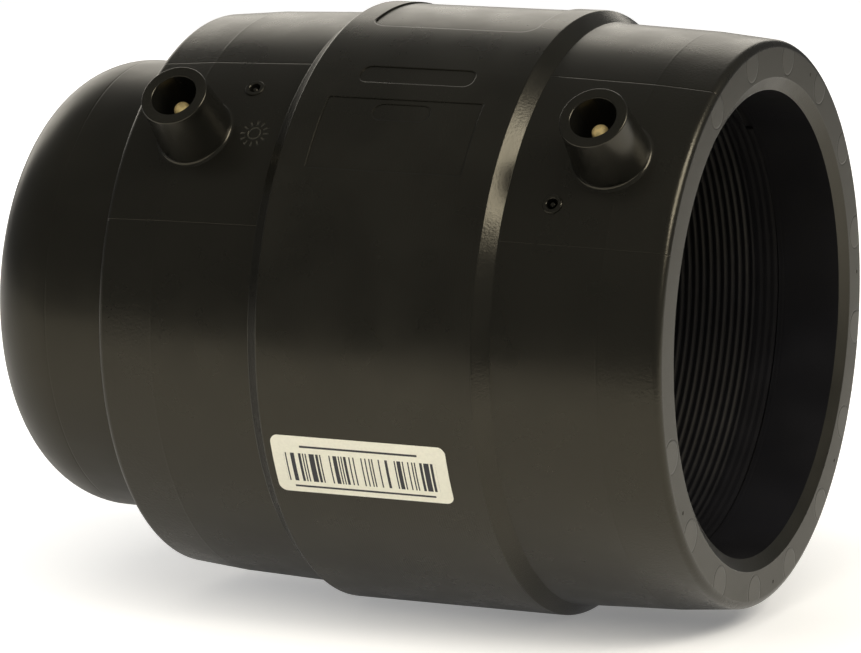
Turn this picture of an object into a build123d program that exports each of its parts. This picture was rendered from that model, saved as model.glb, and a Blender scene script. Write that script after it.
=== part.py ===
from build123d import *
from math import acos, atan2, ceil, cos, hypot, pi, radians, sin, sqrt, tan
import os

# Electrofusion coupler for 110 mm polyethylene pipe, with a domed end cap in its upper socket.
# Millimetres. The coupler stands on its open end: the origin is the middle of the open mouth, +Z runs
# along the bore to the cap, and both terminals face -Y.

round_sag = 0.25                # most that a rounded profile's short straight runs leave its true arc
inside_sag = 2.5                # the same, inside the end cap

# Pipe and sockets
pipe_diameter = 110.0
socket_clearance = 0.6          # gap all round between the pipe and the socket wall
body_length = 143.0
stop_width = 3.0                # centre rib that both pipe ends meet
stop_height = 2.8
mouth_chamfer_width = 2.9
mouth_chamfer_depth = 1.8

# Outside of the coupler
socket_wall = 14.1              # at the foot of the band
socket_draft = 0.95             # drop in radius from the band's foot to the end taper
end_taper_length = 15.0
end_taper_drop = 1.35
end_round = 2.0                 # rounding of the outer edge of each end face
band_width = 54.6
band_height = 2.9               # above the foot of its step
band_step_run = 3.4
band_edge_round = 0.7

# Heating wire, a coated wire laid in a seat in the bore wall
first_turn_height = 18.5        # from the end face, under the terminal
winding_pitch = 1.9
turns_per_zone = 19
coat_width = 1.7
coat_crest_width = 0.9
coat_height = 1.0
seat_margin = 0.15              # between the outermost turns and the ends of their seat
facets_per_turn = 16

# Terminals
shroud_rise = 15.05             # of the rim above the socket's shoulder
shroud_top_radius = 8.15
shroud_draft_angle = 3.8        # degrees
shroud_rim_chamfer = 0.45
well_radius = 5.45
well_depth = 14.5
pin_radius = 2.0
pin_below_rim = 4.8
pin_tip_round = 0.9
pin_shank_radius = 2.3           # in the wall, between the floor of the well and the anchor
pin_anchor_radius = 3.2
pin_anchor_length = 3.0
pin_anchor_depth = 1.5          # of the anchor's outer face under the floor of the well
pin_tail_radius = 0.8

# Fusion indicators: a peg in a small well that rises as the joint melts
indicator_height = 29.5         # from the end face
indicator_angle = 11.4          # degrees to the side of the terminal
indicator_boss_radius = 2.4
indicator_boss_rise = 0.35
indicator_well_radius = 1.35
indicator_well_depth = 6.0
indicator_peg_radius = 0.6
indicator_peg_below_rim = 0.5

# Moulded recesses on the band: (height above the open end, degrees round from the terminals, length, width)
panel_depth = 0.2
panel_height = 71.9
panel_length = 39.4
panel_width = 20.2
pill_angle = 5.0
pill_length = 14.4
pill_width = 4.7
strip_angle = 14.4
strip_length = 29.0
strip_width = 5.6
pad_depth = 0.4
pad_angle = 51.0
pad_length = 42.0
pad_width = 50.0
pad_corner_round = 4.0

# End cap
cap_clearance = 0.3             # gap all round between the cap and the socket wall
cap_wall = 10.0
cap_reach = 20.5                # straight wall that stands out of the socket
cap_knuckle_radius = 20.0
cap_crown_radius = 133.0
cap_lead_in = 1.5

# Data label on the band
label_length = 44.6
label_width = 15.5
label_thickness = 0.15
label_corner_round = 2.0
label_height = 74.6
label_angle = -65.2             # degrees round from the terminals

# Worked out from the above
bore_radius = pipe_diameter / 2 + socket_clearance
root_radius = bore_radius + socket_wall
band_radius = root_radius + band_height
shoulder_radius = root_radius - socket_draft
face_radius = shoulder_radius - end_taper_drop
mouth_radius = bore_radius + mouth_chamfer_width
cap_radius = bore_radius - cap_clearance
middle = body_length / 2
band_bottom = middle - band_width / 2
facet_share = cos(pi / facets_per_turn)     # mid-facet radius over corner radius
coat_inner_radius = bore_radius / facet_share
seat_radius = coat_inner_radius + coat_height
last_turn_height = first_turn_height + turns_per_zone * winding_pitch
seat_start = first_turn_height - coat_width / 2 - seat_margin
seat_end = last_turn_height + coat_width / 2 + seat_margin
terminal_heights = (first_turn_height, body_length - first_turn_height)
shroud_top_height = shoulder_radius + shroud_rise
well_floor = shroud_top_height - well_depth
pin_tip = shroud_top_height - pin_below_rim


def looking_out(angle, height):
    """Plane on the bore axis whose Z points out through the wall, `angle` degrees round from the terminals."""
    turn = radians(angle)
    return Plane(origin=(0, 0, height), x_dir=(0, 0, 1), z_dir=(sin(turn), -cos(turn), 0))


def mirrored_up(points):
    """Half a section from the band's step down and back up the bore, continued as its mirror image."""
    return points + [(radius, body_length - height) for radius, height in reversed(points)]


def turned(points):
    """Solid of revolution about the bore axis from (radius, height) points."""
    return revolve(Plane.XZ * make_face(Polyline(*points, close=True)), Axis.Z, 360)


def arc_points(centre, radius, start, end, sag=round_sag):
    """(radius, height) points of an arc from one angle to the other, in radians up from the outward direction."""
    runs = ceil(abs(end - start) / (2 * acos(1 - min(sag, radius / 4) / radius)))
    angles = [start + (end - start) * i / runs for i in range(runs + 1)]
    return [(centre[0] + radius * cos(angle), centre[1] + radius * sin(angle)) for angle in angles]


def coupler_shell():
    """The two sockets, the band between them, the winding's seats and the centre stop."""
    lean = atan2(end_taper_drop, end_taper_length)
    edge_centre = (face_radius - end_round * tan(pi / 4 - lean / 2), end_round)
    rise = atan2(band_step_run, band_height)
    band_centre = (band_radius - band_edge_round, band_bottom + band_edge_round * tan((pi / 2 - rise) / 2))
    half = [
        *reversed(arc_points(band_centre, band_edge_round, rise - pi / 2, 0)),
        (root_radius, band_bottom - band_step_run),
        (shoulder_radius, end_taper_length),
        *reversed(arc_points(edge_centre, end_round, -pi / 2, -lean)),
        (mouth_radius, 0),
        (bore_radius, mouth_chamfer_depth),
        (bore_radius, seat_start),
        (seat_radius, seat_start),
        (seat_radius, seat_end),
        (bore_radius, seat_end),
        (bore_radius, middle - stop_width / 2),
        (bore_radius - stop_height, middle - stop_width / 2),
    ]
    return turned(mirrored_up(half))


def shroud(height):
    """Tapered collar round a terminal, chamfered at its rim."""
    spread = tan(radians(shroud_draft_angle))
    base = shoulder_radius - socket_wall / 2
    rise = shroud_top_height - base
    upwards = (Align.CENTER, Align.CENTER, Align.MIN)
    collar = Cone(shroud_top_radius + spread * rise, shroud_top_radius, rise, align=upwards)
    collar = chamfer(collar.edges().filter_by(GeomType.CIRCLE).sort_by(Axis.Z)[-1], shroud_rim_chamfer)
    return looking_out(0, height) * Pos(0, 0, base) * collar


def terminal_well(height):
    """Space inside a shroud, with a small lead-in at its rim."""
    well = Cylinder(well_radius, well_depth, align=(Align.CENTER, Align.CENTER, Align.MIN))
    downwards = (Align.CENTER, Align.CENTER, Align.MAX)
    lead = Cone(well_radius, well_radius + shroud_rim_chamfer, shroud_rim_chamfer, align=downwards)
    plane = looking_out(0, height)
    return plane * Pos(0, 0, well_floor) * well + plane * Pos(0, 0, shroud_top_height) * lead


def contact_pin(height):
    """Brass terminal pin: a rounded contact, an anchor in the wall and a tail that meets the wire's end."""
    anchor_top = well_floor - pin_anchor_depth
    anchor_foot = anchor_top - pin_anchor_length
    pin = turned([
        (0, seat_radius - coat_height),
        (pin_tail_radius, seat_radius - coat_height),
        (pin_tail_radius, anchor_foot),
        (pin_anchor_radius, anchor_foot),
        (pin_anchor_radius, anchor_top),
        (pin_shank_radius, anchor_top),
        (pin_shank_radius, well_floor),
        (pin_radius, well_floor),
        *arc_points((pin_radius - pin_tip_round, pin_tip - pin_tip_round), pin_tip_round, 0, pi / 2),
        (0, pin_tip),
    ])
    seat = Cylinder(seat_radius, body_length, align=(Align.CENTER, Align.CENTER, Align.MIN))
    return looking_out(0, height) * pin - seat


def indicator(height, angle):
    """(boss, well, peg) of one fusion indicator on a socket."""
    plane = looking_out(angle, height)
    surface = root_radius - socket_draft * (
        (band_bottom - band_step_run - min(height, body_length - height))
        / (band_bottom - band_step_run - end_taper_length)
    )
    rim = surface + indicator_boss_rise
    downwards = (Align.CENTER, Align.CENTER, Align.MAX)
    boss_depth = 4 * indicator_boss_rise
    boss = Cone(indicator_boss_radius + indicator_boss_rise, indicator_boss_radius, boss_depth, align=downwards)
    well = Cylinder(indicator_well_radius, indicator_well_depth, align=downwards)
    peg_length = indicator_well_depth - indicator_peg_below_rim
    peg = Pos(0, 0, -indicator_peg_below_rim) * Cylinder(indicator_peg_radius, peg_length, align=downwards)
    at_rim = plane * Pos(0, 0, rim)
    return at_rim * boss, at_rim * well, at_rim * peg


def band_recess(height, angle, length, width, corner, depth):
    """Shallow pocket in the band with a floor that follows its curve."""
    outline = RectangleRounded(length, width, corner) if corner else Rectangle(length, width)
    block = looking_out(angle, height) * extrude(Pos(0, 0, bore_radius) * outline, 2 * socket_wall)
    floor = Cylinder(band_radius - depth, body_length, align=(Align.CENTER, Align.CENTER, Align.MIN))
    return block - floor


def crossing_groove():
    """Straight groove that carries the wire from one fusion zone to the other, past the stop."""
    floor = sqrt(seat_radius**2 - (coat_width / 2) ** 2)
    run = Box(
        coat_width,
        2 * coat_height,
        body_length - 2 * last_turn_height,
        align=(Align.CENTER, Align.MIN, Align.MIN),
    )
    under_stop = Cylinder(bore_radius, body_length, align=(Align.CENTER, Align.CENTER, Align.MIN))
    return Pos(0, -floor, last_turn_height) * run - under_stop


def coupler_body():
    """The whole moulding: sockets, band, shrouds, indicators and marking recesses."""
    body = coupler_shell()
    places = ((indicator_height, -indicator_angle), (body_length - indicator_height, indicator_angle))
    indicators = [indicator(height, angle) for height, angle in places]
    for boss, _, _ in indicators:
        body = body + boss
    for height in terminal_heights:
        body = body + (shroud(height) - Cylinder(seat_radius, 3 * body_length))
    for height in terminal_heights:
        body = body - terminal_well(height) - contact_pin(height)
    for _, well, peg in indicators:
        body = body - well + peg
    body = body - crossing_groove()
    body = body - band_recess(panel_height, 0, panel_length, panel_width, 0, panel_depth)
    body = body - band_recess(panel_height, pill_angle, pill_length, pill_width, pill_width / 2.1, 2 * panel_depth)
    body = body - band_recess(panel_height, strip_angle, strip_length, strip_width, strip_width / 2.5, panel_depth)
    return body - band_recess(panel_height, pad_angle, pad_length, pad_width, pad_corner_round, pad_depth)


def winding_path():
    """(angle in radians, height) along the wire: up one zone, straight across the middle, up the other."""
    step = 2 * pi / facets_per_turn
    count = turns_per_zone * facets_per_turn
    rise = winding_pitch / facets_per_turn
    lower = [(-pi / 2 + step * i, first_turn_height + rise * i) for i in range(count + 1)]
    upper = [
        (angle + 2 * pi * turns_per_zone, body_length - first_turn_height - last_turn_height + height)
        for angle, height in lower
    ]
    return lower + upper


def run_direction(path, index):
    """Unit (around, up) direction of the straight run that starts at that point of the path."""
    start, end = path[index], path[index + 1]
    around, up = (end[0] - start[0]) * seat_radius, end[1] - start[1]
    return around / hypot(around, up), up / hypot(around, up)


def heating_wire():
    """One coated wire through both fusion zones, each turn a ring of short straight runs."""
    path = winding_path()
    sections = []
    for i, (angle, height) in enumerate(path):
        before = run_direction(path, max(i - 1, 0))
        after = run_direction(path, min(i, len(path) - 2))
        scale = 1 / (1 + before[0] * after[0] + before[1] * after[1])
        around, up = -(before[1] + after[1]) * scale, (before[0] + after[0]) * scale
        outer_radius = sqrt(seat_radius**2 - (around * coat_width / 2) ** 2)
        corners = []
        for radius, reach in (
            (outer_radius, coat_width / 2),
            (outer_radius, -coat_width / 2),
            (outer_radius - coat_height, -coat_crest_width / 2),
            (outer_radius - coat_height, coat_crest_width / 2),
        ):
            corners.append((
                radius * cos(angle) - around * reach * sin(angle),
                radius * sin(angle) + around * reach * cos(angle),
                height + up * reach,
            ))
        sections.append(Wire.make_polygon(corners))
    return Solid.make_loft(sections, ruled=True)


def dome_points(offset, sag):
    """(radius, height) points over the cap's knuckle and crown, moved in from the outside by `offset`."""
    across = cap_radius - cap_knuckle_radius
    drop = sqrt((cap_crown_radius - cap_knuckle_radius) ** 2 - across**2)
    lean = atan2(drop, across)
    shoulder = body_length + cap_reach
    knuckle = arc_points((across, shoulder), cap_knuckle_radius - offset, 0, lean, sag)
    crown = arc_points((0, shoulder - drop), cap_crown_radius - offset, lean, pi / 2, sag)
    return knuckle + crown[1:]


def end_cap():
    """Domed spigot cap, pushed in until its end meets the centre stop."""
    seat = middle + stop_width / 2
    return turned([
        (cap_radius - cap_lead_in / 2, seat),
        (cap_radius, seat + cap_lead_in),
        *dome_points(0, round_sag),
        *reversed(dome_points(cap_wall, inside_sag)),
        (cap_radius - cap_wall, seat),
    ])


def data_label():
    """Self-adhesive label wrapped on the band, with rounded corners."""
    outline = RectangleRounded(label_length, label_width, label_corner_round)
    block = looking_out(label_angle, label_height) * extrude(Pos(0, 0, bore_radius) * outline, 2 * socket_wall)
    upwards = (Align.CENTER, Align.CENTER, Align.MIN)
    skin = Cylinder(band_radius + label_thickness, body_length, align=upwards)
    return block & (skin - Cylinder(band_radius, body_length, align=upwards))


parts = {
    "coupler_body": coupler_body(),
    "heating_wire": heating_wire(),
    "contact_pin_open_end": contact_pin(terminal_heights[0]),
    "contact_pin_cap_end": contact_pin(terminal_heights[1]),
    "end_cap": end_cap(),
    "data_label": data_label(),
}
os.makedirs("parts", exist_ok=True)
for name, shape in parts.items():
    export_step(shape, f"parts/{name}.step")
    print(name, round(shape.volume / 1000, 3), "cm3", len(shape.solids()), "solid(s)")
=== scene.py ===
"""Electrofusion coupler with a domed end cap: finished pieces, finishes and a small studio.

Sizes are in millimetres and turned to metres where a mesh is made. The bore runs along +Z from the open
mouth, and both terminals face -Y.
"""

import logging
from dataclasses import dataclass, field
from enum import Enum, IntEnum
from math import atan2, cos, degrees, hypot, pi, radians, sin, sqrt, tan

import bpy
from mathutils import Matrix, Vector

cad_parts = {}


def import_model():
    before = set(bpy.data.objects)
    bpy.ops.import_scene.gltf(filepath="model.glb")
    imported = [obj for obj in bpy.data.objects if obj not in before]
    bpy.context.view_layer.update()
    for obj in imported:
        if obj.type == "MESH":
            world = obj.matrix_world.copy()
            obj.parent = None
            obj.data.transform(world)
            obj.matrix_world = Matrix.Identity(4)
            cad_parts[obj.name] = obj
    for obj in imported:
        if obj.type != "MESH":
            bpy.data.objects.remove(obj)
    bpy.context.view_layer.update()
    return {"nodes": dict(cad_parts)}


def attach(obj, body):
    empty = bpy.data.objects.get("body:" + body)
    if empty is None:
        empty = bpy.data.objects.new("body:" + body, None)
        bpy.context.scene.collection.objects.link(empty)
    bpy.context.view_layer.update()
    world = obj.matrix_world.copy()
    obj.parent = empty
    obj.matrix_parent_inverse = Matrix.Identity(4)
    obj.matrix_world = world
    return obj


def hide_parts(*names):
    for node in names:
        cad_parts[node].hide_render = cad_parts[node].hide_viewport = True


LOG = logging.getLogger("coupler")
MM = 0.001
ROUND = 288  # divisions round the bore axis
ON_AXIS = 1e-6  # millimetres
SAME_POINT = 1e-7  # metres
SEAM = 2e-6  # metres

LENGTH = 143.0
BAND_RADIUS = 72.6

Point = tuple[float, float]
Colour = tuple[float, float, float]
Socket = bpy.types.NodeSocket
Value = Socket | float | Colour

INSIDE_BLACK: Colour = (0.0075, 0.0075, 0.009)


class Slot(str, Enum):
    """Material slots of the record; no piece here reads them."""

    BODY = "body"
    WIRE = "wire_coat"
    PIN = "terminal_pin"
    CAP = "cap"


class Zone(IntEnum):
    """Zones of the moulding, as the indices of their materials."""

    SOCKET = 0
    BAND = 1
    END_FACE = 2
    CHAMFER = 3
    BORE = 4
    STEP = 5


# ------------------------------------------------------------
# Modelling helpers
# ------------------------------------------------------------


def arc(centre: Point, radius: float, start: float, end: float, runs: int = 6) -> list[Point]:
    """Points along an arc in a (radius, height) outline.

    Args:
        centre: middle of the arc.
        radius: radius of the arc.
        start: first angle, in degrees up from the outward direction.
        end: last angle, in degrees.
        runs: number of straight runs.

    Returns:
        The points, first to last.
    """
    angles = [radians(start + (end - start) * i / runs) for i in range(runs + 1)]
    return [(centre[0] + radius * cos(a), centre[1] + radius * sin(a)) for a in angles]


def paler(colour: Colour, factor: float) -> Colour:
    """A colour made paler by a factor, or darker by one below 1."""
    return tuple(factor * part for part in colour)


def deselect() -> None:
    """Leave no object selected."""
    bpy.ops.object.select_all(action="DESELECT")


def pick(piece: bpy.types.Object) -> None:
    """Select one piece alone and make it active."""
    deselect()
    piece.select_set(True)
    bpy.context.view_layer.objects.active = piece


def settle() -> None:
    """Apply the selected piece's place, turn and size to its mesh."""
    bpy.ops.object.transform_apply(location=True, rotation=True, scale=True)


def edit() -> None:
    """Enter edit mode on the active piece with everything selected."""
    bpy.ops.object.mode_set(mode="EDIT")
    bpy.ops.mesh.select_all(action="SELECT")


def leave_edit() -> None:
    """Go back to object mode."""
    bpy.ops.object.mode_set(mode="OBJECT")


def modifier(piece: bpy.types.Object, kind: str, **settings: object) -> None:
    """Add a modifier to a piece, set it and apply it.

    Args:
        piece: the piece.
        kind: the modifier's type.
        settings: its settings by name.
    """
    bpy.context.view_layer.objects.active = piece
    bpy.ops.object.modifier_add(type=kind)
    added = piece.modifiers[-1]
    for name, value in settings.items():
        setattr(added, name, value)
    bpy.ops.object.modifier_apply(modifier=added.name)


def cut(piece: bpy.types.Object, cutter: bpy.types.Object) -> None:
    """Cut a piece with a closed cutter, and drop the cutter."""
    modifier(piece, "BOOLEAN", operation="DIFFERENCE", solver="EXACT", object=cutter)
    bpy.data.objects.remove(cutter)


def drawn_outline(name: str, outline: list[Vector]) -> bpy.types.Object:
    """A chain of edges through the points, extruded one after the other from a single vertex.

    Args:
        name: the piece's name.
        outline: the points, in millimetres.

    Returns:
        The new object, left in edit mode with everything selected.
    """
    deselect()
    bpy.ops.mesh.primitive_plane_add(size=MM)
    piece = bpy.context.object
    piece.name = name
    edit()
    bpy.ops.mesh.merge(type="CENTER")
    bpy.ops.transform.translate(value=outline[0] * MM)
    for here, there in zip(outline, outline[1:]):
        bpy.ops.mesh.extrude_region_move(TRANSFORM_OT_translate={"value": (there - here) * MM})
    bpy.ops.mesh.select_all(action="SELECT")
    return piece


def turned(
    name: str, outline: list[Vector], axis: Vector, centre: Vector, steps: int
) -> bpy.types.Object:
    """A closed solid of revolution.

    Args:
        name: the piece's name.
        outline: points of half a section, in millimetres.
        axis: direction of the axis.
        centre: a point on the axis, in millimetres.
        steps: divisions round the axis.

    Returns:
        The new object, in object mode.
    """
    ends = [end - centre for end in (outline[0], outline[-1])]
    on_axis = all((end - end.project(axis)).length < ON_AXIS for end in ends)
    piece = drawn_outline(name, outline if on_axis else outline + outline[:1])
    bpy.ops.mesh.remove_doubles(threshold=SAME_POINT)
    bpy.ops.mesh.spin(steps=steps, angle=2 * pi, center=centre * MM, axis=axis)
    bpy.ops.mesh.select_all(action="SELECT")
    bpy.ops.mesh.remove_doubles(threshold=SEAM)
    bpy.ops.mesh.normals_make_consistent(inside=False)
    leave_edit()
    return piece


def lathe(name: str, outline: list[Point]) -> bpy.types.Object:
    """Solid of revolution about the bore axis from (radius, height) points."""
    points = [Vector((r, 0, z)) for r, z in outline]
    return turned(name, points, Vector((0, 0, 1)), Vector((0, 0, 0)), ROUND)


def turned_out(name: str, outline: list[Point], height: float, steps: int) -> bpy.types.Object:
    """A solid of revolution about the line that leaves the bore axis towards the terminals.

    Args:
        name: the piece's name.
        outline: half a section, as (distance from that line, distance from the bore axis).
        height: the line's height.
        steps: divisions round the line.

    Returns:
        The new object, in object mode.
    """
    points = [Vector((across, -out, height)) for across, out in outline]
    return turned(name, points, Vector((0, 1, 0)), Vector((0, 0, height)), steps)


def smooth(piece: bpy.types.Object, angle: float = 30) -> None:
    """Shade a piece smooth up to an angle in degrees, with its large faces kept flat."""
    pick(piece)
    bpy.ops.object.shade_smooth_by_angle(angle=radians(angle))
    modifier(piece, "WEIGHTED_NORMAL", keep_sharp=True, weight=80)


def turn_to(piece: bpy.types.Object, angle: float) -> None:
    """Turn a piece about the bore axis, in degrees from the terminals, and apply the turn."""
    pick(piece)
    piece.rotation_euler[2] = radians(angle)
    settle()


def finish_piece(
    piece: bpy.types.Object, materials: list[bpy.types.Material], replaced: str = ""
) -> None:
    """Dress a piece, let it ride on the body and hide the node that it replaces.

    Args:
        piece: the finished mesh.
        materials: its materials, by material index.
        replaced: the node that it replaces, if any.
    """
    piece.data.materials.clear()
    for material in materials:
        piece.data.materials.append(material)
    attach(piece, "root")
    if replaced:
        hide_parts(replaced)
    LOG.info("%s: %d faces", piece.name, len(piece.data.polygons))


# ------------------------------------------------------------
# Node graphs
# ------------------------------------------------------------


class Nodes:
    """A node tree, with short calls for the nodes that the finishes and the studio share."""

    def __init__(self, tree: bpy.types.NodeTree) -> None:
        """Work on the given tree."""
        self.tree = tree

    def node(self, kind: str, **settings: object) -> bpy.types.Node:
        """Add a node and set its properties.

        Args:
            kind: the node's type.
            settings: its properties by name.

        Returns:
            The new node.
        """
        made = self.tree.nodes.new(kind)
        for name, value in settings.items():
            setattr(made, name, value)
        return made

    def link(self, source: Value, target: Socket) -> None:
        """Join an output to an input, or set the input if the source is a plain value."""
        if isinstance(source, bpy.types.NodeSocket):
            self.tree.links.new(source, target)
        else:
            target.default_value = source

    def math(self, operation: str, *values: Value) -> Socket:
        """Output of a Math node.

        Args:
            operation: the node's operation.
            values: its inputs, in order.

        Returns:
            The result.
        """
        made = self.node("ShaderNodeMath", operation=operation)
        for value, socket in zip(values, made.inputs):
            self.link(value, socket)
        return made.outputs[0]

    def ramp(
        self,
        value: Value,
        low: float,
        high: float,
        start: float = 0,
        end: float = 1,
        shape: str = "SMOOTHSTEP",
    ) -> Socket:
        """Step of a value from `start` at `low` to `end` at `high`.

        Args:
            value: the value.
            low: where the step starts.
            high: where the step ends.
            start: result up to `low`.
            end: result from `high`.
            shape: the step's interpolation.

        Returns:
            The result.
        """
        made = self.node("ShaderNodeMapRange", interpolation_type=shape)
        for source, socket in zip((value, low, high, start, end), made.inputs):
            self.link(source, socket)
        return made.outputs[0]

    def choice(self, factor: Value, first: bpy.types.Node, second: bpy.types.Node) -> bpy.types.Node:
        """Mix of two shaders, the second where the factor is one.

        Args:
            factor: share of the second shader.
            first: the first shader.
            second: the second shader.

        Returns:
            The Mix Shader node.
        """
        made = self.node("ShaderNodeMixShader")
        for source, socket in zip((factor, first.outputs[0], second.outputs[0]), made.inputs):
            self.link(source, socket)
        return made


class Graph(Nodes):
    """A piece's material: a Principled shader fed from the place on the piece in millimetres."""

    def __init__(self, name: str) -> None:
        """Start a material of that name."""
        self.material = bpy.data.materials.new(name)
        self.material.use_nodes = True
        super().__init__(self.material.node_tree)
        self.shader = self.tree.nodes["Principled BSDF"]
        scaled = self.node("ShaderNodeVectorMath", operation="SCALE")
        self.link(self.node("ShaderNodeTexCoord").outputs["Object"], scaled.inputs[0])
        scaled.inputs["Scale"].default_value = 1 / MM
        self.place = scaled.outputs[0]
        split = self.node("ShaderNodeSeparateXYZ")
        self.link(self.place, split.inputs[0])
        self.x, self.y, self.z = split.outputs

    def set(self, name: str, value: Value) -> None:
        """Feed one of the shader's sockets, or set it to a plain value."""
        self.link(value, self.shader.inputs[name])

    def line(self, distance: Value, half_width: float) -> Socket:
        """One where a distance is near nought, falling to nought at the half width."""
        return self.ramp(self.math("ABSOLUTE", distance), 0.3 * half_width, half_width, 1, 0)

    def sink(self, height: Value, mask: Value, depth: float) -> Socket:
        """A height lowered by a depth where a mask is one."""
        return self.math("SUBTRACT", height, self.math("MULTIPLY", mask, depth))

    def noise(self, scale: float, detail: float = 2) -> Socket:
        """Noise with about `scale` cells a millimetre.

        Args:
            scale: cells a millimetre.
            detail: layers of finer noise.

        Returns:
            The noise, from 0 to 1.
        """
        made = self.node("ShaderNodeTexNoise")
        self.link(self.place, made.inputs["Vector"])
        made.inputs["Scale"].default_value = scale
        made.inputs["Detail"].default_value = detail
        return made.outputs["Fac"]

    def mix(self, factor: Value, first: Value, second: Value) -> Socket:
        """Mix of two colours.

        Args:
            factor: share of the second colour.
            first: the first colour.
            second: the second colour.

        Returns:
            The mixed colour.
        """
        made = self.node("ShaderNodeMix", data_type="RGBA")
        self.link(factor, made.inputs["Factor"])
        for value, socket in zip((first, second), made.inputs[6:8]):
            self.link((*value, 1) if isinstance(value, tuple) else value, socket)
        return made.outputs[2]

    def distance(self, across: Value, up: Value) -> Socket:
        """Length of the hypotenuse over two square distances."""
        squares = [self.math("POWER", side, 2) for side in (across, up)]
        return self.math("SQRT", self.math("ADD", *squares))

    def angle(self) -> Socket:
        """Angle in radians round from the terminals."""
        return self.math("ARCTAN2", self.x, self.math("MULTIPLY", self.y, -1))

    def rounded_box(self, across: Value, up: Value, half: Point, corner: float) -> Socket:
        """Signed distance to a rounded rectangle, negative inside.

        Args:
            across: sideways distance from its middle.
            up: lengthwise distance from its middle.
            half: half its sizes across and up.
            corner: radius of its corners.

        Returns:
            The distance in millimetres.
        """
        qx = self.math("SUBTRACT", self.math("ABSOLUTE", across), half[0] - corner)
        qy = self.math("SUBTRACT", self.math("ABSOLUTE", up), half[1] - corner)
        outside = self.distance(self.math("MAXIMUM", qx, 0), self.math("MAXIMUM", qy, 0))
        inside = self.math("MINIMUM", self.math("MAXIMUM", qx, qy), 0)
        return self.math("SUBTRACT", self.math("ADD", outside, inside), corner)

    def bump(self, height: Socket) -> None:
        """Use a height in millimetres as the surface's relief."""
        made = self.node("ShaderNodeBump")
        made.inputs["Strength"].default_value = 1
        made.inputs["Distance"].default_value = MM
        self.link(height, made.inputs["Height"])
        self.set("Normal", made.outputs[0])


# ------------------------------------------------------------
# Finishes
# ------------------------------------------------------------


@dataclass(frozen=True)
class Polyethylene:
    """Black polyethylene, as moulded, with a grain and a mottled gloss."""

    name: str
    colour: Colour = (0.0068, 0.0066, 0.0054)
    roughness: float = 0.29
    mottle_scale: float = 0.09
    mottle_glossy: float = 0.03
    mottle_dull: float = 0.04
    fading: float = 1.35
    fading_scale: float = 0.05
    specular: float = 0.5
    tint: Colour = (1.0, 0.92, 0.72)
    grain_depth: float = 0.004
    grain_scale: float = 2.2

    def graph(self) -> Graph:
        """The material's graph, with its colour and gloss set."""
        made = Graph(self.name)
        glossy, dull = self.roughness - self.mottle_glossy, self.roughness + self.mottle_dull
        made.set("Roughness", made.ramp(made.noise(self.mottle_scale, 4), 0.3, 0.7, glossy, dull))
        faded = made.ramp(made.noise(self.fading_scale, 3), 0.35, 0.7)
        made.set("Base Color", made.mix(faded, self.colour, paler(self.colour, self.fading)))
        made.set("Specular IOR Level", self.specular)
        made.set("Specular Tint", (*self.tint, 1))
        return made

    def grain(self, made: Graph) -> Socket:
        """Height of the moulded grain."""
        return made.math("MULTIPLY", made.noise(self.grain_scale, 3), self.grain_depth)

    def relief(self, made: Graph) -> Socket:
        """Height of all the relief: here the grain alone."""
        return self.grain(made)

    def material(self) -> bpy.types.Material:
        """The finished material."""
        made = self.graph()
        made.bump(self.relief(made))
        return made.material


@dataclass(frozen=True)
class SocketFinish(Polyethylene):
    """Outside of the sockets: a coarser grain towards the ends, insert joints and a plain dial, whose
    ticks and rings are painted paler as a painted highlight.
    """

    length: float = LENGTH
    radius: float = 69.2
    coarse_depth: float = 0.05
    coarse_full: float = 7.0
    coarse_none: float = 26.0
    taper_from: float = 15.0
    taper_width: float = 0.4
    taper_depth: float = 0.02
    joint_angles: tuple[float, ...] = (19.4, -19.6)
    joint_width: float = 0.28
    joint_depth: float = 0.07
    dial_height: float = 108.7
    dial_radius: float = 3.7
    dial_ticks: int = 12
    dial_depth: float = 0.3
    dial_highlight: float = 4.0
    tick_circle: float = 0.8
    tick_width: float = 0.85
    inner_circle: float = 0.42
    inner_width: float = 0.3

    def coarse(self, made: Graph, end: Socket) -> Socket:
        """Height of the coarse grain at a distance from the nearer end."""
        patches = made.ramp(made.noise(0.12, 3), 0.35, 0.6, 0.4, 1)
        grit = made.math("MULTIPLY", made.noise(1.5, 2), patches)
        depth = made.ramp(end, self.coarse_full, self.coarse_none, self.coarse_depth, 0)
        return made.math("MULTIPLY", grit, depth)

    def dial(self, made: Graph) -> Socket:
        """Mask of a ring of ticks round a small circle."""
        across = made.math("MULTIPLY", made.angle(), self.radius)
        up = made.math("SUBTRACT", made.z, self.dial_height)
        out = made.distance(across, up)
        turns = made.math("MULTIPLY", made.math("ARCTAN2", up, across), self.dial_ticks)
        spokes = made.ramp(made.math("COSINE", turns), 0.35, 0.75)
        rings = ((self.tick_circle, self.tick_width), (self.inner_circle, self.inner_width))
        outer, inner = (
            made.line(made.math("SUBTRACT", out, share * self.dial_radius), width)
            for share, width in rings
        )
        return made.math("MAXIMUM", made.math("MULTIPLY", spokes, outer), inner)

    def material(self) -> bpy.types.Material:
        """The finished material."""
        made = self.graph()
        end = made.math("MINIMUM", made.z, made.math("SUBTRACT", self.length, made.z))
        height = made.math("ADD", self.grain(made), self.coarse(made, end))
        taper = made.line(made.math("SUBTRACT", end, self.taper_from), self.taper_width)
        height = made.math("ADD", height, made.math("MULTIPLY", taper, self.taper_depth))
        angle = made.angle()
        for joint in self.joint_angles:
            off = made.math("MULTIPLY", made.math("SUBTRACT", angle, radians(joint)), self.radius)
            height = made.sink(height, made.line(off, self.joint_width), self.joint_depth)
        dial = self.dial(made)
        made.bump(made.sink(height, dial, self.dial_depth))
        # Painted highlight: the dial's ticks and rings are painted paler than the plastic round them.
        made.set("Base Color", made.mix(dial, self.colour, paler(self.colour, self.dial_highlight)))
        return made.material


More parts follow.
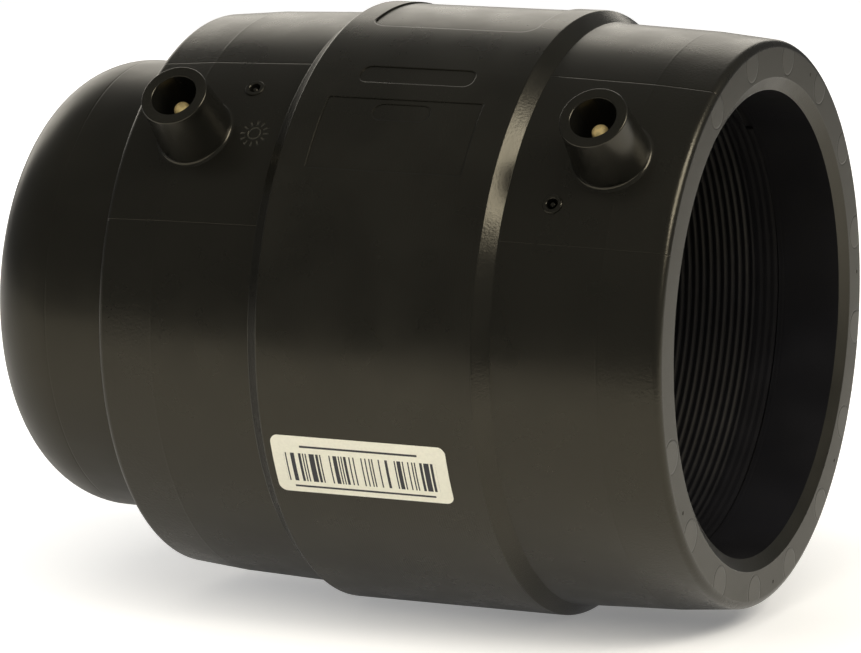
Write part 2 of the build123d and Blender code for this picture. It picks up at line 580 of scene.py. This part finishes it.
@dataclass(frozen=True)
class CapFinish(Polyethylene):
    """Outside of the cap, with the faint joint of its mould where the dome starts."""

    joint_height: float = 163.3
    joint_width: float = 0.3
    joint_depth: float = 0.04

    def relief(self, made: Graph) -> Socket:
        """Height of the grain and of the joint."""
        joint = made.line(made.math("SUBTRACT", made.z, self.joint_height), self.joint_width)
        return made.sink(self.grain(made), joint, self.joint_depth)


@dataclass(frozen=True)
class Recess:
    """A shallow moulded pocket on the band, by its middle, its size and the radius of its corners."""

    height: float
    angle: float
    length: float
    width: float
    corner: float
    depth: float


@dataclass(frozen=True)
class BandFinish(Polyethylene):
    """Band of the coupler: fine turning lines of the mould and soft edges to its marking recesses."""

    recesses: tuple[Recess, ...] = ()
    band_radius: float = BAND_RADIUS
    edge_inside: float = -0.05
    edge_outside: float = 0.35
    edge_depth: float = 0.16
    line_pitch: float = 0.62
    line_depth: float = 0.006

    def relief(self, made: Graph) -> Socket:
        """Height of the grain, the turning lines and the recesses' edges."""
        wave = made.math("SINE", made.math("MULTIPLY", made.z, 2 * pi / self.line_pitch))
        patches = made.ramp(made.noise(0.06, 2), 0.4, 0.6)
        lines = made.math("MULTIPLY", made.math("MULTIPLY", wave, self.line_depth), patches)
        height = made.math("ADD", self.grain(made), lines)
        angle = made.angle()
        for recess in self.recesses:
            off = made.math("SUBTRACT", angle, radians(recess.angle))
            across = made.math("MULTIPLY", off, self.band_radius)
            up = made.math("SUBTRACT", made.z, recess.height)
            edge = made.rounded_box(across, up, (recess.width / 2, recess.length / 2), recess.corner)
            worn = made.ramp(edge, self.edge_inside, self.edge_outside, -self.edge_depth, 0)
            height = made.math("ADD", height, worn)
        return height


@dataclass(frozen=True)
class EndFaceFinish(Polyethylene):
    """End face of a socket: paler and duller, with round ejector marks and small vents. The paler colour
    is partly painted light, and the vents and the grooves round the marks are painted dark as painted
    shade.
    """

    circle: float = 63.5
    mark_radius: float = 4.0
    mark_spacing: float = 21.6
    first_mark: float = 39.5
    marks_axis: float = -22.0
    mark_edge: float = 0.12
    mark_rise: float = 0.03
    mark_gloss: float = 0.05
    mark_pale: float = 1.6
    rim_width: float = 0.35
    rim_depth: float = 0.05
    vent_angles: tuple[float, ...] = (75.4, 134.7, 178.5, 222.4, -76.0)
    vent_radius: float = 0.55
    vent_depth: float = 0.3
    vent_shade_colour: Colour = (0.002, 0.002, 0.002)

    def off_mark(self, made: Graph) -> Socket:
        """Distance from the middle of the nearest ejector mark."""
        from_axis = made.math("SUBTRACT", made.angle(), radians(self.marks_axis))
        side = made.math("ABSOLUTE", made.math("WRAP", from_axis, pi, -pi))
        past_first = made.math("SUBTRACT", side, radians(self.first_mark))
        step = made.math("DIVIDE", past_first, radians(self.mark_spacing))
        nearest = made.math("MAXIMUM", made.math("ROUND", step), 0)
        spacing = radians(self.mark_spacing) * self.circle
        off = made.math("MULTIPLY", made.math("SUBTRACT", step, nearest), spacing)
        out = made.math("SUBTRACT", made.distance(made.x, made.y), self.circle)
        return made.distance(off, out)

    def vents(self, made: Graph) -> Value:
        """Mask of the small vents."""
        flat = made.node("ShaderNodeCombineXYZ")
        made.link(made.x, flat.inputs[0])
        made.link(made.y, flat.inputs[1])
        mask: Value = 0.0
        for angle in map(radians, self.vent_angles):
            apart = made.node("ShaderNodeVectorMath", operation="DISTANCE")
            made.link(flat.outputs[0], apart.inputs[0])
            apart.inputs[1].default_value = Vector((sin(angle), -cos(angle), 0)) * self.circle
            hole = made.ramp(apart.outputs["Value"], self.vent_radius * 0.6, self.vent_radius, 1, 0)
            mask = made.math("MAXIMUM", mask, hole)
        return mask

    def material(self) -> bpy.types.Material:
        """The finished material."""
        made = self.graph()
        distance, vents = self.off_mark(made), self.vents(made)
        edge = (self.mark_radius - self.mark_edge, self.mark_radius + self.mark_edge)
        disc = made.ramp(distance, *edge, 1, 0)
        rim = made.line(made.math("SUBTRACT", distance, self.mark_radius), self.rim_width)
        raised = made.math("ADD", self.grain(made), made.math("MULTIPLY", disc, self.mark_rise))
        made.bump(made.sink(made.sink(raised, rim, self.rim_depth), vents, self.vent_depth))
        roughness = made.math("ADD", made.math("MULTIPLY", disc, -self.mark_gloss), self.roughness)
        made.set("Roughness", made.math("ADD", roughness, made.math("MULTIPLY", vents, 0.3)))
        pale = paler(self.colour, self.mark_pale)
        shade = made.mix(made.math("MULTIPLY", disc, 0.5), self.colour, pale)
        # Painted shade: the vents are painted near black and the groove round each ejector mark is
        # painted darker, standing in for the shade inside them.
        dark = made.math("MAXIMUM", vents, made.math("MULTIPLY", rim, 0.6))
        made.set("Base Color", made.mix(dark, shade, self.vent_shade_colour))
        return made.material


@dataclass(frozen=True)
class BoreFinish(Polyethylene):
    """Bore wall: smooth at the mouth, with fine rings where the winding starts."""

    rings_from: float = 15.6
    rings_to: float = 24.0
    rings_fade: float = 0.3
    ring_pitch: float = 1.0
    ring_depth: float = 0.01

    def relief(self, made: Graph) -> Socket:
        """Height of the grain and the rings."""
        past = made.math("SUBTRACT", made.z, self.rings_from)
        wave = made.math("COSINE", made.math("MULTIPLY", past, 2 * pi / self.ring_pitch))
        starts = made.ramp(made.z, self.rings_from - self.rings_fade, self.rings_from + self.rings_fade)
        ends = made.ramp(made.z, self.rings_to - self.rings_fade, self.rings_to + self.rings_fade, 1, 0)
        deep = made.math("MULTIPLY", wave, self.ring_depth)
        rings = made.math("MULTIPLY", deep, made.math("MULTIPLY", starts, ends))
        return made.math("ADD", self.grain(made), rings)


@dataclass(frozen=True)
class Brass:
    """Turned brass, slightly dull."""

    name: str = "turned_brass"
    colour: Colour = (1.0, 0.78, 0.36)
    wear: float = 0.7
    metallic: float = 0.7
    polished: float = 0.32
    dull: float = 0.5

    def material(self) -> bpy.types.Material:
        """The finished material."""
        made = Graph(self.name)
        worn = made.ramp(made.noise(0.8, 3), 0.35, 0.7)
        made.set("Base Color", made.mix(worn, self.colour, paler(self.colour, self.wear)))
        made.set("Metallic", self.metallic)
        made.set("Roughness", made.ramp(made.noise(2.5, 2), 0.2, 0.8, self.polished, self.dull))
        return made.material


@dataclass(frozen=True)
class Print:
    """A plain printed rectangle on the label, by its middle, half its sizes and its corners."""

    across: float
    half: Point
    corner: float


@dataclass(frozen=True)
class LabelFilm:
    """White label with a row of plain bars between two thin plain rules."""

    name: str = "printed_label"
    paper: Colour = (0.9, 0.88, 0.74)
    ink: Colour = (0.02, 0.02, 0.025)
    fibre: float = 0.95
    roughness: float = 0.42
    radius: float = 72.75
    angle: float = -65.2
    height: float = 74.6
    bars: Print = Print(-0.6, (3.9, 19.4), 0.05)
    rules: tuple[Print, ...] = (Print(5.1, (0.28, 15.0), 0.1), Print(-6.0, (0.28, 18.0), 0.1))
    bar_step: float = 0.34
    bar_scale: float = 8.7
    bar_share: float = 0.52

    def mask(self, made: Graph, shape: Print) -> Socket:
        """Mask of a printed rectangle.

        Args:
            made: the label's graph.
            shape: the rectangle.

        Returns:
            One inside it, nought outside.
        """
        turn = made.math("SUBTRACT", made.angle(), radians(self.angle))
        across = made.math("SUBTRACT", made.math("MULTIPLY", turn, self.radius), shape.across)
        up = made.math("SUBTRACT", made.z, self.height)
        edge = made.rounded_box(across, up, shape.half, shape.corner)
        return made.math("LESS_THAN", edge, 0)

    def stripes(self, made: Graph) -> Socket:
        """Mask of bars of uneven width over the whole label."""
        noise = made.node("ShaderNodeTexNoise", noise_dimensions="1D")
        up = made.math("SUBTRACT", made.z, self.height)
        made.link(made.math("SNAP", up, self.bar_step), noise.inputs["W"])
        noise.inputs["Scale"].default_value = self.bar_scale
        return made.math("GREATER_THAN", noise.outputs["Fac"], self.bar_share)

    def material(self) -> bpy.types.Material:
        """The finished material."""
        made = Graph(self.name)
        dark = made.math("MULTIPLY", self.stripes(made), self.mask(made, self.bars))
        for rule in self.rules:
            dark = made.math("MAXIMUM", dark, self.mask(made, rule))
        fibres = made.ramp(made.noise(1.5, 3), 0.3, 0.7)
        paper = made.mix(fibres, self.paper, paler(self.paper, self.fibre))
        made.set("Base Color", made.mix(dark, paper, self.ink))
        made.set("Roughness", self.roughness)
        return made.material


# ------------------------------------------------------------
# Sub-assemblies
# ------------------------------------------------------------


@dataclass
class CouplerBody:
    """The moulding: two sockets, the band, the bore and the centre stop."""

    length: float = LENGTH
    bore: float = 55.6
    seat: float = 56.35
    seat_from: float = 17.5
    seat_to: float = 55.6
    stop_radius: float = 52.8
    stop_from: float = 70.0
    mouth: float = 58.5
    mouth_depth: float = 1.8
    mouth_edge: Point = (0.25, 0.12)
    face: float = 67.4
    shoulder: float = 68.75
    shoulder_height: float = 15.0
    root: float = 69.7
    root_height: float = 40.8
    band: float = BAND_RADIUS
    band_height: float = 44.2
    edge_round: float = 2.0
    band_round: float = 0.7
    foot_round: float = 0.6
    shoulder_edge: Point = (0.02, 0.5)
    indicator_well: float = 1.35
    indicators: tuple[Point, ...] = ((29.5, -11.4), (113.5, 11.4))
    recesses: tuple[Recess, ...] = (
        Recess(71.9, 0.0, 39.4, 20.2, 0.4, 0.22),
        Recess(71.9, 5.0, 14.4, 4.7, 2.3, 0.4),
        Recess(71.9, 14.4, 29.0, 5.6, 2.3, 0.22),
        Recess(71.9, 51.0, 42.0, 50.0, 4.0, 0.4),
    )

    def surface(self, height: float) -> float:
        """Radius of the socket's outside at a height."""
        up = min(height, self.length - height)
        if up < self.shoulder_height:
            return self.face + (self.shoulder - self.face) * up / self.shoulder_height
        share = (up - self.shoulder_height) / (self.root_height - self.shoulder_height)
        return self.shoulder + (self.root - self.shoulder) * share

    def half_outline(self) -> list[Point]:
        """Half a section, from the middle of the band down and back up the bore to the stop."""
        lean = atan2(self.shoulder - self.face, self.shoulder_height)
        edge = (self.face - self.edge_round * tan(pi / 4 - lean / 2), self.edge_round)
        rise = atan2(self.band_height - self.root_height, self.band - self.root)
        half_turn = tan((pi / 2 - rise) / 2)
        top = (self.band - self.band_round, self.band_height + self.band_round * half_turn)
        foot = (self.root + self.foot_round, self.root_height - self.foot_round * half_turn)
        return [
            *reversed(arc(top, self.band_round, -(90 - degrees(rise)), 0, 6)),
            *reversed(arc(foot, self.foot_round, 180, 90 + degrees(rise), 4)),
            (self.shoulder + self.shoulder_edge[0], self.shoulder_height + self.shoulder_edge[1]),
            (self.shoulder, self.shoulder_height),
            *reversed(arc(edge, self.edge_round, -90, -degrees(lean), 9)),
            (self.mouth + self.mouth_edge[0], 0),
            (self.mouth, self.mouth_edge[1]),
            (self.bore, self.mouth_depth),
            (self.bore, self.seat_from),
            (self.seat, self.seat_from),
            (self.seat, self.seat_to),
            (self.bore, self.seat_to),
            (self.bore, self.stop_from),
            (self.stop_radius, self.stop_from),
        ]

    def build(self) -> bpy.types.Object:
        """Turn the section, then sink the indicators' wells and the recesses."""
        half = self.half_outline()
        outline = half + [(radius, self.length - height) for radius, height in reversed(half)]
        body = lathe("coupler_moulding", outline)
        for height, angle in self.indicators:
            cut(body, self.drill(height, angle))
        for recess in self.recesses:
            cut(body, self.pocket(recess))
        smooth(body)
        return body

    def drill(self, height: float, angle: float) -> bpy.types.Object:
        """Cutter of an indicator's well, at a height and an angle from the terminals.

        Args:
            height: distance from the open mouth.
            angle: angle from the terminals, in degrees.

        Returns:
            The cutter.
        """
        deselect()
        bpy.ops.mesh.primitive_cylinder_add(
            vertices=32,
            radius=self.indicator_well * MM,
            depth=12 * MM,
            location=(0, -70 * MM, height * MM),
            rotation=(pi / 2, 0, 0),
        )
        settle()
        well = bpy.context.object
        turn_to(well, angle)
        return well

    def pocket(self, recess: Recess) -> bpy.types.Object:
        """Cutter of a recess: a thick sheet with rounded corners, bent onto the band.

        Args:
            recess: the recess.

        Returns:
            The cutter.
        """
        deselect()
        bpy.ops.mesh.primitive_grid_add(x_subdivisions=40, y_subdivisions=1, size=MM)
        sheet = bpy.context.object
        sheet.scale = (recess.width, recess.length, 1)
        settle()
        modifier(sheet, "SOLIDIFY", thickness=2 * MM, offset=1)
        for vertex in sheet.data.vertices:
            across, up, out = vertex.co / MM
            past = max(0.0, abs(across) - (recess.width / 2 - recess.corner))
            drop = recess.corner - sqrt(max(0.0, recess.corner**2 - past**2))
            up *= 1 - 2 * drop / recess.length
            turn, radius = radians(recess.angle) + across / self.band, self.band - recess.depth + out
            vertex.co = Vector((radius * sin(turn), -radius * cos(turn), recess.height + up)) * MM
        edit()
        bpy.ops.mesh.normals_make_consistent(inside=False)
        leave_edit()
        return sheet

    def zone(self, centre: Vector) -> Zone:
        """Zone of the moulding that a face belongs to.

        Args:
            centre: the face's middle, in millimetres.

        Returns:
            The zone.
        """
        out, up = hypot(centre.x, centre.y), min(centre.z, self.length - centre.z)
        if up > self.root_height and out > self.root:
            return Zone.BAND if up > self.band_height + 0.2 else Zone.STEP
        if up < 0.01:
            return Zone.END_FACE
        if out < self.mouth:
            return Zone.CHAMFER if up < self.mouth_depth else Zone.BORE
        return Zone.SOCKET

    def dress(self, body: bpy.types.Object) -> None:
        """Give each zone of the moulding its finish."""
        finishes = {
            Zone.SOCKET: SocketFinish("socket_outside", grain_depth=0.006, grain_scale=1.6),
            Zone.BAND: BandFinish("band_outside", grain_depth=0.003, recesses=self.recesses),
            # Painted light: the end face's colour is about twice as pale as the rest of the moulding.
            # This partly stands in for the strong light on the face, while its dull, grainy finish is
            # its own.
            Zone.END_FACE: EndFaceFinish(
                "end_face", (0.013, 0.0125, 0.01), roughness=0.4, grain_depth=0.012
            ),
            Zone.CHAMFER: Polyethylene(
                "mouth_chamfer", roughness=0.36, grain_depth=0.03, grain_scale=1.4
            ),
            Zone.BORE: BoreFinish("bore_wall", INSIDE_BLACK, roughness=0.36, grain_depth=0.002),
            Zone.STEP: Polyethylene("band_step", roughness=0.22, grain_depth=0.03, grain_scale=1.6),
        }
        finish_piece(body, [finishes[zone].material() for zone in Zone], "coupler_body")
        for face in body.data.polygons:
            face.material_index = self.zone(face.center / MM)


@dataclass
class Terminal:
    """A shroud with its well and the brass contact pin inside."""

    name: str
    height: float
    body: CouplerBody
    top: float = 83.8
    top_radius: float = 8.15
    well: float = 5.45
    floor: float = 69.3
    draft: float = 3.8
    rim_round: float = 0.45
    foot_round: float = 0.9
    foot_flare: float = 0.2
    blend: float = 3.0
    sunk: float = 1.5
    pin_radius: float = 2.0
    pin_top: float = 79.0
    tip_round: float = 1.3

    def build_shroud(self) -> bpy.types.Object:
        """The collar, its rounded rim, its well and a foot that follows the socket."""
        surface = self.body.surface(self.height)
        spread = tan(radians(self.draft))
        foot_radius = self.top_radius + spread * (self.top - surface - self.foot_round)
        rim = (self.top_radius - self.rim_round, self.top - self.rim_round)
        lip = (self.well + self.rim_round, self.top - self.rim_round)
        foot = (foot_radius + self.foot_round, surface + self.foot_round)
        outline = [
            (0, self.floor),
            (self.well, self.floor),
            *arc(lip, self.rim_round, 180, 90, 5),
            *arc(rim, self.rim_round, 90, 0, 6),
            (foot_radius - spread * self.blend, surface + self.foot_round + self.blend),
            *arc(foot, self.foot_round, 180, 268, 7),
            (foot_radius + self.foot_round + self.foot_flare, surface - self.sunk),
            (0, surface - self.sunk),
        ]
        shroud = turned_out(f"shroud_{self.name}", outline, self.height, 96)
        for vertex in shroud.data.vertices:
            x, out, z = vertex.co.x / MM, -vertex.co.y / MM, vertex.co.z / MM
            share = min(1.0, max(0.0, (surface + self.foot_round + self.blend - out) / self.blend))
            if hypot(x, z - self.height) > self.well + 0.5 and share > 0:
                here = sqrt(self.body.surface(z) ** 2 - x**2)
                vertex.co.y -= (here - surface) * share * MM
        smooth(shroud, 40)
        return shroud

    def build_pin(self) -> bpy.types.Object:
        """The contact, rounded at its tip."""
        tip = (self.pin_radius - self.tip_round, self.pin_top - self.tip_round)
        outline = [
            (0, self.floor - self.sunk),
            (self.pin_radius, self.floor - self.sunk),
            *arc(tip, self.tip_round, 0, 90, 10),
            (0, self.pin_top),
        ]
        pin = turned_out(f"contact_{self.name}", outline, self.height, 48)
        smooth(pin, 40)
        return pin

    def build(self) -> None:
        """Model and dress both pieces."""
        glossy = Polyethylene(f"shroud_gloss_{self.name}", roughness=0.2, grain_depth=0.001)
        finish_piece(self.build_shroud(), [glossy.material()])
        finish_piece(self.build_pin(), [Brass().material()], f"contact_pin_{self.name}")


@dataclass
class Indicator:
    """A boss, its well and the melt peg inside."""

    name: str
    height: float
    angle: float
    body: CouplerBody
    boss: float = 2.4
    rise: float = 0.35
    sunk: float = 1.2
    draft: float = 0.15
    well_bevel: float = 0.12
    boss_bevel: Point = (0.2, 0.15)
    peg: float = 0.6
    peg_sunk: float = 5.0
    peg_below: float = 0.5
    peg_bevel: float = 0.15

    def build(self) -> None:
        """Model and dress the boss ring and the peg."""
        surface, well = self.body.surface(self.height), self.body.indicator_well
        top = surface + self.rise
        ring = [
            (well, surface - self.sunk),
            (well, top - self.well_bevel),
            (well + self.well_bevel, top),
            (self.boss - self.boss_bevel[0], top),
            (self.boss, top - self.boss_bevel[1]),
            (self.boss + self.draft, surface - self.sunk),
        ]
        peg = [
            (0, surface - self.peg_sunk),
            (self.peg, surface - self.peg_sunk),
            (self.peg, top - (self.peg_below + self.peg_bevel)),
            (self.peg - self.peg_bevel, top - self.peg_below),
            (0, top - self.peg_below),
        ]
        for part, outline in (("boss", ring), ("peg", peg)):
            name = f"indicator_{part}_{self.name}"
            piece = turned_out(name, outline, self.height, 40)
            turn_to(piece, self.angle)
            smooth(piece)
            finish_piece(piece, [Polyethylene(name, roughness=0.28).material()])


@dataclass
class Winding:
    """The coated wire's turns along the bore wall of one socket."""

    name: str
    start: float
    length: float = LENGTH
    crest: float = 55.6
    dip: float = 0.28
    hump: float = 1.6
    facets: int = 10
    back: float = 56.3
    pitch: float = 1.9
    gap: float = 0.04
    turns: int = 19
    steps: int = 144
    calm_below: float = 24.4
    calm_share: float = 0.7

    def build(self) -> bpy.types.Object:
        """Screw a closed half-round section up the bore, flatter near the mouth, and close its ends."""
        width = self.pitch - self.gap
        section = []
        for i in range(self.facets + 1):
            radius = self.crest + self.dip * abs(cos(pi * i / self.facets)) ** self.hump
            section.append(Vector((radius, 0, self.start + width * (i / self.facets - 0.5))))
        for side in (width / 2, -width / 2):
            section.append(Vector((self.back, 0, self.start + side)))
        piece = drawn_outline(f"winding_{self.name}", section + section[:1])
        bpy.ops.mesh.remove_doubles(threshold=SAME_POINT)
        leave_edit()
        modifier(
            piece,
            "SCREW",
            angle=2 * pi,
            screw_offset=self.pitch * MM,
            iterations=self.turns,
            steps=self.steps,
            render_steps=self.steps,
        )
        for vertex in piece.data.vertices:
            x, y, z = vertex.co / MM
            radius, end = hypot(x, y), min(z, self.length - z)
            if radius < self.back - 0.1:
                calm = min(1.0, max(0.0, self.calm_below - end))
                wanted = radius + (self.crest - radius) * self.calm_share * calm
                vertex.co.x *= wanted / radius
                vertex.co.y *= wanted / radius
        edit()
        bpy.ops.mesh.fill_holes(sides=20)
        bpy.ops.mesh.normals_make_consistent(inside=False)
        leave_edit()
        return piece


@dataclass
class Crossing:
    """The wire's straight run past the stop, from one winding to the other."""

    low: float = 54.6
    high: float = 88.4
    radius: float = 0.85
    out: float = 55.85

    def build(self) -> bpy.types.Object:
        """A straight rod that lies in the bore wall under the terminals."""
        deselect()
        bpy.ops.mesh.primitive_cylinder_add(
            vertices=24,
            radius=self.radius * MM,
            depth=(self.high - self.low) * MM,
            location=(0, -self.out * MM, (self.low + self.high) / 2 * MM),
        )
        settle()
        run = bpy.context.object
        run.name = "winding_crossing"
        return run


@dataclass
class EndCap:
    """Domed spigot cap in the far socket."""

    radius: float = 55.3
    wall: float = 10.0
    seat: float = 73.0
    shoulder: float = 163.5
    knuckle: float = 20.0
    crown: float = 133.0
    lead_in: float = 1.5

    def dome(self, offset: float, runs: int) -> list[Point]:
        """Knuckle and crown arcs, moved in from the outside by `offset`."""
        across = self.radius - self.knuckle
        drop = sqrt((self.crown - self.knuckle) ** 2 - across**2)
        lean = degrees(atan2(drop, across))
        knuckle = arc((across, self.shoulder), self.knuckle - offset, 0, lean, runs)
        crown = arc((0, self.shoulder - drop), self.crown - offset, lean, 90, runs)
        return knuckle + crown[1:]

    def build(self) -> bpy.types.Object:
        """Turn the cap."""
        outer, inner = self.dome(0, 16), self.dome(self.wall, 10)
        outline = [
            *reversed(inner),
            (self.radius - self.wall, self.seat),
            (self.radius - self.lead_in / 2, self.seat),
            (self.radius, self.seat + self.lead_in),
            *outer,
        ]
        cap = lathe("domed_cap", outline)
        smooth(cap)
        return cap


@dataclass(frozen=True)
class Lamp:
    """A soft rectangular lamp, placed as seen from the camera.

    The direction is (across, above, beyond) from the coupler, the size is height and width in metres and
    the power is in watts. `mirrored` says whether the gloss of the pieces shows the lamp.
    """

    name: str
    direction: tuple[float, float, float]
    size: Point
    power: float
    mirrored: bool = True
    colour: Colour = (1.0, 0.95, 0.85)
    distance: float = 1.2
    aim: Vector = field(default_factory=lambda: Vector((0, 0, 0.08)))

    def build(self, axes: tuple[Vector, Vector, Vector]) -> None:
        """Hang the lamp and aim it at the coupler.

        Args:
            axes: the camera's right, up and forward directions.
        """
        away = sum((share * axis for share, axis in zip(self.direction, axes)), Vector())
        data = bpy.data.lights.new(self.name, "AREA")
        data.shape, data.energy, data.color = "RECTANGLE", self.power, self.colour
        data.size, data.size_y = self.size
        lamp = bpy.data.objects.new(self.name, data)
        bpy.context.scene.collection.objects.link(lamp)
        lamp.location = self.aim + away.normalized() * self.distance
        lamp.rotation_euler = (-away).to_track_quat("-Z", "Y").to_euler()
        lamp.visible_glossy = self.mirrored


@dataclass
class Floor:
    """A pale sheet that the coupler lies against as it is lit, seen only from its front."""

    normal: Vector = field(default_factory=lambda: Vector((0.7487, -0.6629, 0.0)).normalized())
    distance: float = 72.7
    size: float = 8.0
    front: float = 0.26
    colour: Colour = (0.9, 0.9, 0.9)
    glow: float = 0.1
    glow_from: Point = (0.07, 0.1)
    glow_to: Point = (0.3, 0.7)

    def material(self) -> bpy.types.Material:
        """Matt, with a glow for the camera and in gloss that grows with distance; clear from behind. The
        dimmer glow near the coupler is painted shade round its contact.
        """
        material = bpy.data.materials.new("floor")
        material.use_nodes = True
        material.node_tree.nodes.clear()
        made = Nodes(material.node_tree)
        path, geometry = made.node("ShaderNodeLightPath"), made.node("ShaderNodeNewGeometry")
        camera_ray = path.outputs["Is Camera Ray"]
        matt = made.node("ShaderNodeBsdfDiffuse")
        matt.inputs["Color"].default_value = (*self.colour, 1)
        away = made.node("ShaderNodeVectorMath", operation="LENGTH")
        made.link(geometry.outputs["Position"], away.inputs[0])
        # Painted shade: the glow that the camera sees is lowest near the coupler and rises further off.
        # The floor therefore reads darker round the coupler's contact, on top of the lamps' own shadow.
        limits = (self.glow_from[0], self.glow_to[0], self.glow_from[1], self.glow_to[1])
        grows = made.ramp(away.outputs["Value"], *limits, shape="LINEAR")
        glow = made.node("ShaderNodeEmission")
        made.link(made.math("MULTIPLY_ADD", camera_ray, grows, self.glow), glow.inputs["Strength"])
        both = made.node("ShaderNodeAddShader")
        for shader, socket in zip((matt, glow), both.inputs):
            made.link(shader.outputs[0], socket)
        mirrored = made.math("MAXIMUM", camera_ray, path.outputs["Is Glossy Ray"])
        sides = made.choice(
            geometry.outputs["Backfacing"],
            made.choice(mirrored, matt, both),
            made.node("ShaderNodeBsdfTransparent"),
        )
        made.link(sides.outputs[0], made.node("ShaderNodeOutputMaterial").inputs[0])
        return material

    def build(self, forward: Vector) -> None:
        """Lay the sheet, most of it beyond the coupler.

        Args:
            forward: the direction the camera looks in.
        """
        deselect()
        beyond = (forward - forward.project(self.normal)).normalized()
        middle = beyond * (self.size / 2 - self.front) - self.normal * self.distance * MM
        bpy.ops.mesh.primitive_plane_add(size=self.size, location=middle)
        sheet = bpy.context.object
        sheet.name = "floor"
        turn = Matrix((beyond.cross(self.normal), beyond, self.normal)).transposed()
        sheet.rotation_euler = turn.to_euler()
        settle()
        sheet.data.materials.append(self.material())


@dataclass
class Studio:
    """Camera, lamps, floor and surroundings."""

    lens: float = 230.545
    sensor: float = 36.0
    reach: float = 100.0
    place: Vector = field(default_factory=lambda: Vector((-645.48, -1040.71, -454.39)))
    forward: Vector = field(default_factory=lambda: Vector((0.47839, 0.77974, 0.40392)))
    up: Vector = field(default_factory=lambda: Vector((0.83522, -0.54607, 0.06495)))
    surroundings: float = 0.12
    lamps: tuple[Lamp, ...] = (
        Lamp("key", (-0.2, 0.6, -0.8), (1.3, 1.3), 13.5, mirrored=False),
        Lamp("front", (0.62, 0.5, -0.5), (0.75, 0.5), 10),
        Lamp("back", (-0.15, 0.5, 0.8), (0.7, 1.3), 4.6),
    )

    def axes(self) -> tuple[Vector, Vector, Vector]:
        """The camera's right, up and forward directions."""
        forward, up = self.forward.normalized(), self.up.normalized()
        return forward.cross(up).normalized(), up, forward

    def camera(self) -> None:
        """Set the camera at its place."""
        data = bpy.data.cameras.new("camera")
        data.lens, data.sensor_width, data.clip_end = self.lens, self.sensor, self.reach
        camera = bpy.data.objects.new("camera", data)
        bpy.context.scene.collection.objects.link(camera)
        right, _, forward = self.axes()
        turn = Matrix((right, right.cross(forward), -forward)).transposed()
        camera.matrix_world = Matrix.Translation(self.place * MM) @ turn.to_4x4()
        bpy.context.scene.camera = camera

    def world(self) -> None:
        """Even grey surroundings that the camera sees as white."""
        world = bpy.data.worlds.new("surroundings")
        bpy.context.scene.world = world
        world.use_nodes = True
        world.node_tree.nodes.clear()
        made = Nodes(world.node_tree)
        grey, white = made.node("ShaderNodeBackground"), made.node("ShaderNodeBackground")
        for shader, strength in ((grey, self.surroundings), (white, 1)):
            shader.inputs["Color"].default_value = (1, 1, 1, 1)
            shader.inputs["Strength"].default_value = strength
        camera_ray = made.node("ShaderNodeLightPath").outputs["Is Camera Ray"]
        seen = made.choice(camera_ray, grey, white)
        made.link(seen.outputs[0], made.node("ShaderNodeOutputWorld").inputs[0])

    def build(self) -> None:
        """Set the whole studio."""
        bpy.context.scene.view_settings.view_transform = "Standard"
        self.camera()
        Floor().build(self.forward)
        for lamp in self.lamps:
            lamp.build(self.axes())
        self.world()


def main() -> None:
    """Build every piece in order, then the studio."""
    logging.basicConfig(level=logging.INFO)
    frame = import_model()
    body = CouplerBody()
    body.dress(body.build())
    for name, height in (("open_end", 18.5), ("cap_end", 124.5)):
        Terminal(name, height, body).build()
    for name, (height, angle) in zip(("open_end", "cap_end"), body.indicators):
        Indicator(name, height, angle, body).build()
    coat = Polyethylene(
        "wire_coat", INSIDE_BLACK, roughness=0.46, grain_depth=0.002, specular=0.32
    ).material()
    for wire in (Winding("open_end", 18.5), Winding("cap_end", 88.4), Crossing()):
        piece = wire.build()
        smooth(piece, 60)
        finish_piece(piece, [coat], "heating_wire")
    cap_outside = CapFinish("cap_outside", roughness=0.32).material()
    finish_piece(EndCap().build(), [cap_outside], "end_cap")
    label = frame["nodes"]["data_label"]
    label.data.materials.clear()
    label.data.materials.append(LabelFilm().material())
    Studio().build()


if __name__ == "__main__":
    main()
